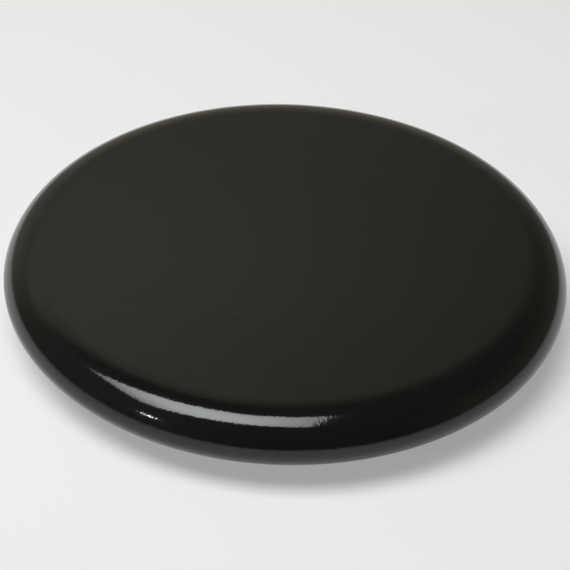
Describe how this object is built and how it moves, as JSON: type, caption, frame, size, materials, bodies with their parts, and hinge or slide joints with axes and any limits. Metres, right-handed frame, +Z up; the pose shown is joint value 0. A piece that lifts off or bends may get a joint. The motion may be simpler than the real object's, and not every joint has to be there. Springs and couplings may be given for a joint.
{
  "type": "gas burner cap",
  "caption": "Round gas burner cap in gloss black enamel: flat top, rolled rim that curls under to a flat seat, and a locating ring beneath that drops into the burner's crown.",
  "frame": {"origin": "on the cap's axis, at the foot of the locating ring, the lowest face of the part", "axes": "+Z up along the cap's axis, out of the flat top; X and Y may point anywhere, because the cap is round"},
  "size_m": [0.075, 0.075, 0.0104],
  "materials": {
    "enamel": "high-gloss black vitreous enamel with a fine orange-peel surface, over steel"
  },
  "bodies": {
    "root": {"burner_cap": "enamel"}
  },
  "joints": []
}
